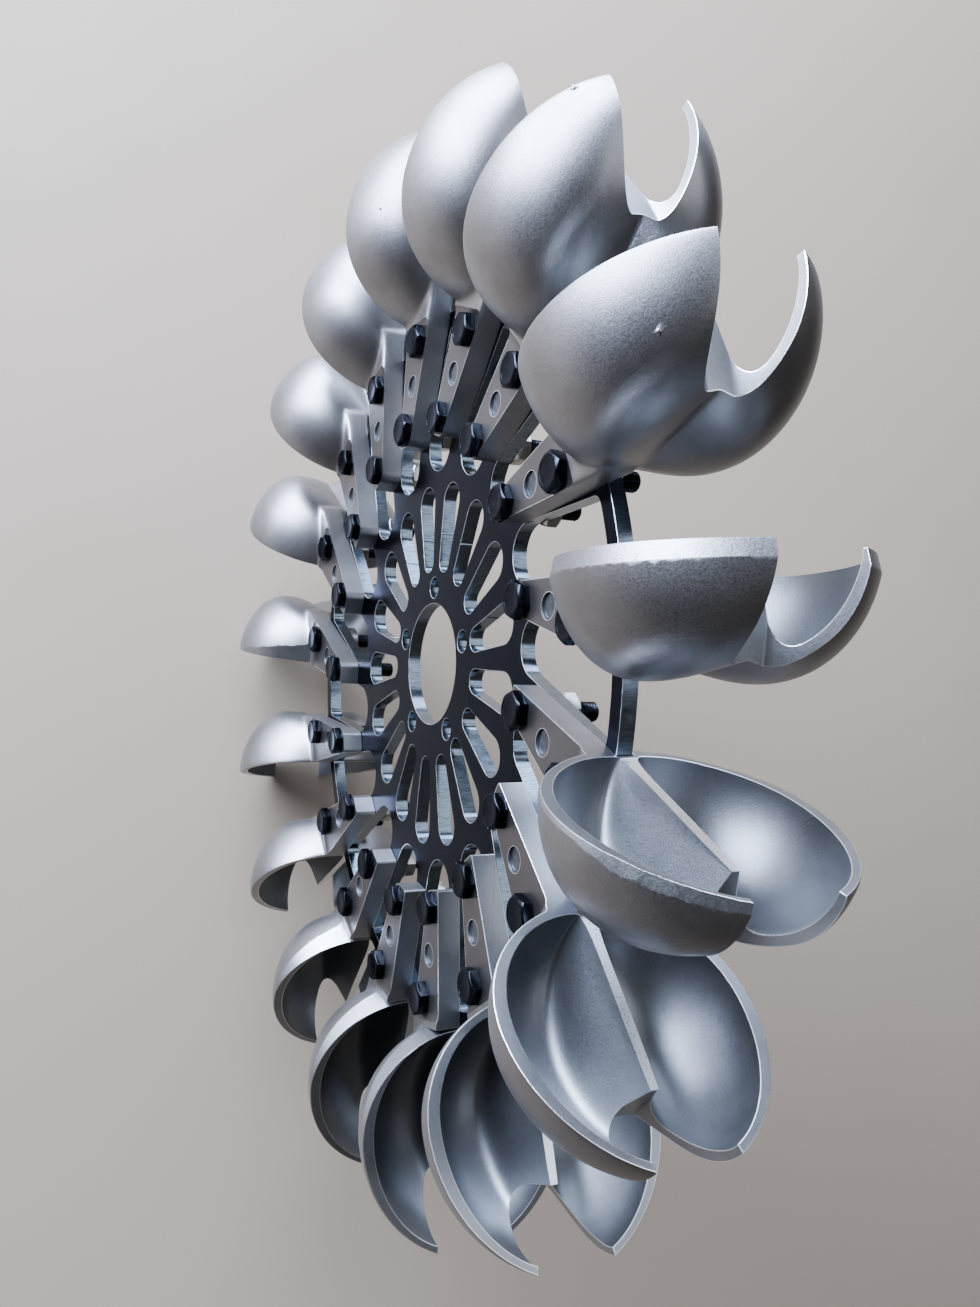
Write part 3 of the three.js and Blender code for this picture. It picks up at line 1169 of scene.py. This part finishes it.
@dataclass
class RunnerPlate:
    """The laser-cut plate, in the wheel's plane with its front face at Y zero."""

    thickness: float = 8 * MM
    bore: float = 36 * MM
    hub_holes: int = 5
    hub_circle: float = 45.3 * MM
    hub_hole: float = 6.25 * MM
    hub_start: float = math.radians(-81.1)
    slot_inner: Pair = (62.3 * MM, 6.8 * MM)
    slot_outer: Pair = (96.7 * MM, 10.8 * MM)
    slot_turn: float = math.radians(-7.2)
    window_root: Pair = (130.5 * MM, 15.5 * MM)
    window_turn: float = math.radians(1.5)
    corner: float = 5.5 * MM
    corner_steps: int = 6
    ring_inner: float = 197.8 * MM
    ring_outer: float = 206.5 * MM
    open_end: Pair = (192 * MM, 19.2 * MM)
    back_end: Pair = (193.5 * MM, -13.5 * MM)
    dowel_hole: float = 6.15 * MM
    start_place: float = 0.45
    start_half: float = 0.45 * MM
    start_height: float = 0.35 * MM
    burr: float = 0.3 * MM
    burr_height: float = 0.15 * MM
    ring_sides: int = 272
    bore_sides: int = 96
    hole_sides: int = 32
    slot_steps: tuple[int, int] = (14, 18)
    window_steps: int = 20
    ring_steps: int = 8
    smooth_angle: float = 20

    def slot(self, angle: float) -> list[Vector]:
        """Outline of a slot that narrows to the axis, with the ridge where the laser came in.

        Args:
            angle: bearing of the slot's middle.

        Returns:
            The outline's points.
        """
        (near, small), (far, large) = self.slot_inner, self.slot_outer
        side = math.pi / 2 + math.asin((large - small) / (far - near))
        low, high, turned = angle - side, angle + side, angle + 2 * math.pi - side
        small_steps, large_steps = self.slot_steps
        outer = arc(polar(far, angle), large, low, high, large_steps)
        inner = arc(polar(near, angle), small, high, turned, small_steps)
        along = (outer[0] - inner[-1]).normalized()
        middle = inner[-1].lerp(outer[0], self.start_place)
        inwards = Vector((along.y, -along.x))
        if inwards.dot(polar(near, angle) - inner[-1]) < 0:
            inwards.negate()
        ridge = [
            middle - along * self.start_half, middle + inwards * self.start_height,
            middle + along * self.start_half,
        ]
        return [*outer, *inner, *ridge]

    def corner_points(self, start: Vector, end: Vector, turn: float) -> list[Vector]:
        """Rounded corner from an arm's straight side to the ring.

        Args:
            start: a point of the arm's side, far from the ring.
            end: the point where the side starts to turn.
            turn: -1 or 1, the way round the ring.

        Returns:
            Points from the side's end to the ring.
        """
        along = (end - start).normalized()
        half = end.dot(along)
        crossing = end + along * (
            -half + math.sqrt(half * half - end.length_squared + self.ring_inner**2)
        )
        bearing = math.atan2(crossing.x, crossing.y)
        last = polar(self.ring_inner, bearing + turn * self.corner / self.ring_inner)
        points = []
        for i in range(self.corner_steps + 1):
            t = i / self.corner_steps
            points.append(end * (1 - t) ** 2 + crossing * 2 * t * (1 - t) + last * t * t)
        return points

    def window(self, angle: float) -> list[Vector]:
        """Outline of the open space between one arm and the next.

        Args:
            angle: bearing of the bucket before the window.

        Returns:
            The outline's points.
        """
        centre, radius = self.window_root
        root = polar(centre, angle + self.window_turn)
        back = arm_point(*self.back_end, angle)
        opened = arm_point(*self.open_end, angle + PITCH)

        def bearing(place: Vector) -> float:
            """Angle of a point seen from the root's middle."""
            return math.atan2(place.x - root.x, place.y - root.y)

        leave = bearing(back) - math.acos(radius / (back - root).length)
        meet = bearing(opened) + math.acos(radius / (opened - root).length)
        inside = (2 * math.pi + leave - meet) % (2 * math.pi)
        opened_foot = root + polar(radius, meet)
        back_foot = root + polar(radius, leave)
        open_corner = self.corner_points(opened_foot, opened, -1)
        back_corner = self.corner_points(back_foot, back, 1)
        first = math.atan2(open_corner[-1].x, open_corner[-1].y)
        last = math.atan2(back_corner[-1].x, back_corner[-1].y)
        span = (first - last) % (2 * math.pi)
        ring = arc(Vector((0, 0)), self.ring_inner, first, first - span, self.ring_steps)
        foot = arc(root, radius, meet + inside, meet, self.window_steps)
        return [*foot, *open_corner, *ring[1:-1], *reversed(back_corner)]

    def outlines(self) -> list[list[Vector]]:
        """Every outline of the plate, its outside first.

        Returns:
            A list of points for each outline.
        """
        middle = Vector((0, 0))
        loops = [
            circle(middle, self.ring_outer, self.ring_sides),
            circle(middle, self.bore, self.bore_sides),
        ]
        for i in range(self.hub_holes):
            angle = self.hub_start + 2 * math.pi * i / self.hub_holes
            loops.append(circle(polar(self.hub_circle, angle), self.hub_hole, self.hole_sides))
        for i in range(BUCKETS):
            angle = bucket_angle(i)
            loops.append(self.slot(angle + self.slot_turn))
            loops.append(self.window(angle))
            loops.append(circle(arm_point(*DOWEL, angle), self.dowel_hole, self.hole_sides))
        return loops

    def model(self) -> Solid:
        """Model the plate: outlines filled, extruded, and its arrises broken.

        Returns:
            The plate: its faces, cut walls and arrises are slots 0, 1 and 2.
        """
        sheets = []
        for i, loop in enumerate(self.outlines()):
            points = [Vector((p.x, 0, p.y)) for p in loop]
            sheets.append(outline(f"loop_{i}", points, filled=False))
        plate = joined("runner_plate_steel", sheets)
        with editing(plate, "EDGE"):
            bpy.ops.mesh.select_all(action="SELECT")
            bpy.ops.mesh.fill(use_beauty=False)
        for vertex in plate.data.vertices:
            vertex.co.y = self.burr_height
        extruded(plate, Vector((0, self.thickness - 2 * self.burr_height, 0)))
        for _ in range(3):
            plate.data.materials.append(None)
        with editing(plate, "VERT"):
            bpy.ops.mesh.select_all(action="SELECT")
            bpy.ops.mesh.dissolve_degenerate(threshold=WELD)
        for way, level in ((-1, 0), (1, self.thickness)):
            with editing(plate):
                select(plate, "faces", lambda face: face.normal.y * way > 0.9)
                bpy.ops.mesh.inset(
                    thickness=self.burr, depth=self.burr_height, use_even_offset=False
                )
                bpy.ops.transform.resize(value=(1, 0, 1), center_override=(0, level, 0))
        for polygon in plate.data.polygons:
            lean = abs(polygon.normal.y)
            polygon.material_index = 0 if lean > 0.99 else 2 if lean > 0.5 else 1
        return plate


# ---------------------------------------------------------------- fasteners


@dataclass
class HexBolt:
    """M10 hex bolt along Y, its head on the lug and its thread past the nut."""

    across_flats: float = 17 * MM
    head: float = 5.9 * MM
    seat: float = -13.3 * MM
    face_share: float = 0.45
    dish_border: float = 1.2 * MM
    dish: float = 0.15 * MM
    edge: float = 0.16 * MM
    washer_share: float = 0.47
    washer_height: float = 0.4 * MM
    spare: float = 1 * MM
    crest: float = 4.95 * MM
    root: float = 4.2 * MM
    tip: float = 4 * MM
    pitch: float = 1.5 * MM
    profile: Sequence[tuple[bool, float]] = (
        (False, 0), (False, 0.1), (True, 0.46), (True, 0.64), (False, 1),
    )
    thread_start: float = 8.2 * MM
    thread_end: float = 28 * MM
    thread_cap: float = 0.01 * MM
    lead_turns: float = 1.5
    spare_turns: int = 3
    overlap: float = 0.5 * MM
    steps: int = 28

    def thread(self) -> Solid:
        """Helical thread as a closed solid, with its end chamfered.

        Returns:
            The thread.
        """
        points = [
            Vector((self.crest if high else self.root, share * self.pitch, 0))
            for high, share in self.profile
        ]
        thread = outline("thread", points, filled=False)
        with editing(thread, "EDGE"):
            closing = 0.9 * self.pitch
            select(thread, "edges", lambda e: abs(e.verts[0].co.y - e.verts[1].co.y) > closing)
            bpy.ops.mesh.delete(type="EDGE")
        turns = int((self.thread_end - self.thread_start) / self.pitch) + self.spare_turns
        apply_modifier(
            thread, "SCREW", axis="Y", angle=2 * math.pi, screw_offset=self.pitch, iterations=turns,
            steps=self.steps, render_steps=self.steps,
        )
        with editing(thread, "VERT"):
            bpy.ops.mesh.select_all(action="SELECT")
            bpy.ops.mesh.remove_doubles(threshold=10 * WELD)
            bpy.ops.mesh.fill_holes(sides=0)
            bpy.ops.mesh.normals_make_consistent(inside=False)
        start = self.thread_start - self.lead_turns * self.pitch
        thread.data.transform(Matrix.Translation((0, start, 0)))
        for place, way in ((self.thread_start, -1), (self.thread_end, 1)):
            trimmed(thread, Vector((0, place, 0)), Vector((0, way, 0)))
        end = self.thread_end + self.thread_cap
        back = self.thread_start - self.spare
        return combine(thread, cone(end, back, self.tip, self.tip + (end - back)), "INTERSECT")

    def model(self) -> Solid:
        """Model the bolt: chamfered head, washer face, shank and thread.

        Returns:
            The bolt.
        """
        top, under = self.seat - self.head, self.seat - self.washer_height
        head = rod("head", 6, self.across_flats / math.sqrt(3), top - self.spare, under)
        face, low = self.face_share * self.across_flats, self.seat + self.spare
        dome = cone(top, low, face, face + math.sqrt(3) * (low - top))
        with editing(dome):
            select(dome, "faces", lambda side: side.normal.y < -0.95)
            bpy.ops.mesh.inset(thickness=self.dish_border, depth=0)
            bpy.ops.mesh.inset(thickness=self.dish, depth=-self.dish)
        combine(head, dome, "INTERSECT")
        bevelled(head, self.edge, 2, 28)
        washer = self.washer_share * self.across_flats
        shank = rod("shank", 40, washer, self.seat - 2 * self.washer_height, self.seat)
        with editing(shank):
            select(shank, "faces", lambda side: side.normal.y > 0.9)
            bpy.ops.mesh.inset(thickness=washer - self.crest, depth=0)
            length = self.thread_start - self.seat + self.overlap
            bpy.ops.mesh.extrude_region_move(TRANSFORM_OT_translate={"value": (0, length, 0)})
        bolt = joined("hex_bolt", [head, shank, self.thread()])
        smooth_by_angle(bolt, SMOOTH_ANGLE)
        return bolt


@dataclass
class HexNut:
    """M10 hex nut along Y, on the back of the plate."""

    across_flats: float = 17 * MM
    face: float = 7.885 * MM
    edge: float = 0.45 * MM
    low: float = 8 * MM
    high: float = 15.6 * MM
    bore: float = 5.1 * MM
    spare: float = 2 * MM

    def model(self) -> Solid:
        """Model the nut, chamfered at both ends.

        Returns:
            The nut.
        """
        nut = rod("hex_nut", 6, self.across_flats / math.sqrt(3), self.low, self.high)
        span = self.high - self.low + self.spare
        for top, way in ((self.high, -1), (self.low, 1)):
            wide = self.face + math.sqrt(3) * span
            combine(nut, cone(top, top + way * span, self.face, wide), "INTERSECT")
        combine(nut, rod("nut_bore", 48, self.bore, -THROUGH, THROUGH), "DIFFERENCE")
        bevelled(nut, self.edge, 3, 25)
        smooth_by_angle(nut, SMOOTH_ANGLE)
        return nut


@dataclass
class DowelPin:
    """Plain pin through the lug and the arm, a little below the lug's face."""

    radius: float = 5.98 * MM
    low: float = -12.1 * MM
    high: float = 8 * MM
    edge: float = 0.35 * MM
    dish_border: float = 1.5 * MM
    dish: float = 0.15 * MM

    def model(self) -> Solid:
        """Model the pin with its ends rounded off and slightly dished.

        Returns:
            The pin.
        """
        pin = rod("dowel_pin_master", 48, self.radius, self.low, self.high)
        with editing(pin, "EDGE"):
            select(pin, "edges", lambda edge: edge.calc_face_angle(0) > math.radians(80))
            bpy.ops.mesh.bevel(offset=self.edge, segments=3)
        with editing(pin):
            select(pin, "faces", lambda face: abs(face.normal.y) > 0.99)
            bpy.ops.mesh.inset(thickness=self.dish_border, depth=-self.dish, use_individual=True)
        smooth_by_angle(pin, SMOOTH_ANGLE)
        return pin


# ---------------------------------------------------------------- assemblies


@dataclass
class Wheel:
    """The whole runner: plate, castings, bolts, nuts and pins."""

    inner_bolt: Pair = (140.8 * MM, 17.1 * MM)
    outer_bolt: Pair = (190 * MM, 0)
    # how far each head was turned when it was tightened: the angle from +X to its first flat, for
    # the inner and the outer bolt of each bucket
    head_turns: Sequence[Pair] = (
        (32, 20), (14, 38), (4, 38), (50, 58), (12, 16), (0, 8), (44, 46), (10, 22), (6, 58),
        (42, 28), (58, 4), (54, 42), (32, 46), (8, 56), (46, 36), (46, 40), (58, 16),
    )
    nut_turn: float = 0.61  # from one nut to the next, as no nut's turn is seen
    dressed: Sequence[Grinding] = (
        Grinding.CLEAN, Grinding.RAGGED, *[Grinding.NONE] * 2, *[Grinding.ROOT] * 3,
        *[Grinding.NONE] * 2, Grinding.ROOT, *[Grinding.NONE] * 7,
    )
    blemishes: Sequence[Blemish] = (
        Blemish(13, (255.4 * MM, -46 * MM, -15 * MM), 0.7 * MM, False),
        Blemish(15, (309 * MM, -28.9 * MM, 9.4 * MM), 1.3 * MM, True),
        Blemish(16, (291.5 * MM, -30.2 * MM, -15.7 * MM), 1.4 * MM, True),
    )

    @staticmethod
    def build_plate() -> None:
        """Build and dress the plate."""
        shape = RunnerPlate()
        plate = shape.model()
        # the arris that a file leaves: bright, with a fine drag
        arris = PlainSteel("steel_arris", "#8f959b", "#a9afb5", roughness=(0.272, 0.425))
        finishes = (MillScaleSteel("mill_scale_steel"), LaserCutSteel("laser_cut_steel"), arris)
        for i, finish in enumerate(finishes):
            plate.data.materials[i] = finish.build()
        plate.data.transform(Matrix.Translation(wheel_axis()))
        smooth_by_angle(plate, shape.smooth_angle)
        apply_modifier(plate, "WEIGHTED_NORMAL", keep_sharp=True, weight=50)
        hand_over(plate, "plate_steel", "runner_plate")

    @staticmethod
    def casting_finishes() -> dict[Zone, bpy.types.Material]:
        """Materials of a casting's zones.

        Returns:
            The material of each zone.
        """
        skin, hollow, ground, milled, worn_arris_and_highlight = (
            CastAluminium(name, dark, light, roughness=roughness, speck=speck).build()
            for name, dark, light, roughness, speck in (
                ("blasted_cast_aluminium", "#7c7b7c", "#89898a", (0.35, 0.43), 0.84),
                ("sand_cast_aluminium_hollow", "#727578", "#7f8285", (0.38, 0.46), 0.84),
                # a belt grinder leaves a paler, smoother face than the blast
                ("ground_cast_aluminium", "#848689", "#909295", (0.33, 0.41), 0.88),
                # the lug's milled front face: an even grey, painted darker than the skin as the
                # shade that this face shows
                ("milled_cast_aluminium_painted_shade", "#555455", "#5f5e5f", (0.33, 0.41), 0.88),
                # worn arrises: near white, partly wear and partly a painted highlight such as a
                # rounded edge would catch
                ("worn_aluminium_arris_painted_highlight", "#dfe2e5", "#eef0f2", (0.26, 0.34), 0.95),
            )
        )
        return {
            Zone.CAST: skin, Zone.HOLLOW: hollow, Zone.FACET: ground, Zone.RIM: ground,
            Zone.NOTCH: ground, Zone.MILLED: milled, Zone.EDGE: worn_arris_and_highlight,
        }

    def build_castings(self) -> None:
        """Build and dress the seventeen castings."""
        dress = self.casting_finishes()
        casting = BucketCasting()
        masters: dict[Grinding, Solid] = {}
        for i, grinding in enumerate(self.dressed):
            if grinding not in masters:
                masters[grinding] = casting.model(grinding)
                for zone, material in dress.items():
                    masters[grinding].data.materials[zone.value] = material
            name = f"bucket_{i + 1:02d}"
            piece = copied(masters[grinding], f"{name}_casting", Matrix())
            for blemish in self.blemishes:
                if blemish.bucket == i:
                    blemish.mark(piece)
            piece.data.transform(seat_matrix(i))
            hand_over(piece, "cast_aluminium", name)
        for master in masters.values():
            bpy.data.objects.remove(master, do_unlink=True)

    def fit(self, kind: str, master: Solid, finish: Finish, *places: Pair) -> None:
        """Dress a fastener and copy it to its places on every bucket, one piece a bucket.

        Args:
            kind: bolts, nuts or dowel_pin.
            master: the modelled fastener, which is used up.
            finish: its finish.
            *places: where it goes, out and open in a bucket's own axes.
        """
        master.data.materials.clear()
        master.data.materials.append(finish.build())
        for i in range(BUCKETS):
            pieces = []
            for j, (out, opened) in enumerate(places):
                turn = (7 * i + 4 * j) * self.nut_turn + bucket_angle(i) - math.pi / 2
                if kind == "bolts":
                    turn = -math.radians(self.head_turns[i][j])
                seat = Matrix.Translation(seat_matrix(i) @ Vector((out, 0, opened)))
                place = seat @ Matrix.Rotation(turn, 4, "Y")
                pieces.append(copied(master, f"{kind}_{i + 1:02d}_{j}", place))
            piece = joined(f"{kind}_{i + 1:02d}_steel", pieces)
            nodes = (f"dowel_pin_{i + 1:02d}",) if kind == "dowel_pin" else ()
            hand_over(piece, "pin_steel", *nodes)
        bpy.data.objects.remove(master, do_unlink=True)

    def build_fasteners(self) -> None:
        """Build and dress the bolts, nuts and pins."""
        bolts = (self.inner_bolt, self.outer_bolt)
        # hot black oxide on a forged head: near-black, with a dull shine
        oxide = PlainSteel(
            "black_oxide_steel", "#1b1d21", "#26282d", roughness=(0.176, 0.275), strength=0.03,
            glance="#cbcdd6",
        )
        self.fit("bolts", HexBolt().model(), oxide, *bolts)
        # bright zinc plating: pale and a little warm
        zinc = PlainSteel(
            "zinc_plated_steel", "#8f908c", "#a9aaa6", roughness=(0.176, 0.275), strength=0.03
        )
        self.fit("nuts", HexNut().model(), zinc, *bolts)
        # ground and oiled: blue-grey
        pin = PlainSteel("ground_pin_steel", "#484e56", "#5b626b", roughness=(0.288, 0.45))
        self.fit("dowel_pin", DowelPin().model(), pin, DOWEL)


@dataclass
class Studio:
    """Pale floor, soft lights, and the camera at the photograph's viewing angle."""

    focal: float = 1028.27
    image: Pair = (980, 1307)
    principal: Pair = (489.9, 666.6)
    sensor: float = 36
    turn: float = math.radians(4.41)
    stand: Triple = (32.8795 * MM, -237.2625 * MM, 565.0657 * MM)
    right: Triple = (-0.00863519, 0.89807883, 0.43974975)
    down: Triple = (0.99864033, 0.0303541, -0.04238075)
    ahead: Triple = (-0.05140946, 0.43878587, -0.89711985)
    # name, place, width and height in metres, watts, colour
    softboxes: Sequence[tuple] = (
        ("window", (-1.7, -1.1, 0.9), (3.0, 1.6), 900, "#d3e1ff"),
        ("side", (-1.8, 1.0, 0.75), (1.1, 0.9), 30, "#cfdfff"),
        ("ceiling", (-0.5, 0.9, 2.4), (2.0, 2.0), 30, "#e8efff"),
    )
    aim: Triple = (0, 0, 0.3)
    glow: str = "#b3aca6"
    glow_strength: float = 0.26
    floor: float = 12

    def camera(self) -> None:
        """Set up the camera."""
        turn = Matrix.Rotation(self.turn, 3, "Y")
        lens = bpy.data.cameras.new("camera")
        lens.sensor_width = self.sensor
        lens.lens = self.focal * lens.sensor_width / self.image[1]
        lens.shift_x = (self.image[0] / 2 - self.principal[0]) / self.image[1]
        lens.shift_y = (self.principal[1] - self.image[1] / 2) / self.image[1]
        lens.clip_start = 0.01
        camera = bpy.data.objects.new("camera", lens)
        right, down, ahead = (turn @ Vector(way) for way in (self.right, self.down, self.ahead))
        facing = Matrix((right, -down, -ahead)).transposed().to_4x4()
        place = turn @ Vector(self.stand) + wheel_axis()
        camera.matrix_world = Matrix.Translation(place) @ facing
        bpy.context.scene.collection.objects.link(camera)
        bpy.context.scene.camera = camera

    def hang_softboxes(self) -> None:
        """Hang the soft lights, each facing the wheel."""
        for name, place, (width, height), watts, colour in self.softboxes:
            lamp = bpy.data.lights.new(name, "AREA")
            lamp.shape = "RECTANGLE"
            lamp.size, lamp.size_y = width, height
            lamp.energy = watts
            lamp.color = linear(colour)[:3]
            box = bpy.data.objects.new(name, lamp)
            facing = (Vector(self.aim) - Vector(place)).to_track_quat("-Z", "Y")
            box.matrix_world = Matrix.Translation(place) @ facing.to_matrix().to_4x4()
            bpy.context.scene.collection.objects.link(box)

    def build(self) -> None:
        """Lay the floor, hang the lights and set the backdrop's even glow."""
        self.camera()
        floor = primitive(bpy.ops.mesh.primitive_plane_add, "studio_floor", size=self.floor)
        floor.data.materials.append(FloorPaint("studio_floor_paint").build())
        self.hang_softboxes()
        world = bpy.data.worlds.new("studio")
        bpy.context.scene.world = world
        world.use_nodes = True
        tree = world.node_tree
        tree.nodes.clear()
        settings = {"Color": linear(self.glow), "Strength": self.glow_strength}
        glow = add_node(tree, "ShaderNodeBackground", settings).outputs["Background"]
        add_node(tree, "ShaderNodeOutputWorld", links={"Surface": glow})


def main() -> None:
    """Build the scene in order and report each piece."""
    logging.basicConfig(level=logging.INFO, format="%(name)s: %(message)s")
    Studio().build()
    wheel = Wheel()
    wheel.build_plate()
    wheel.build_castings()
    wheel.build_fasteners()


if __name__ == "__main__":
    main()
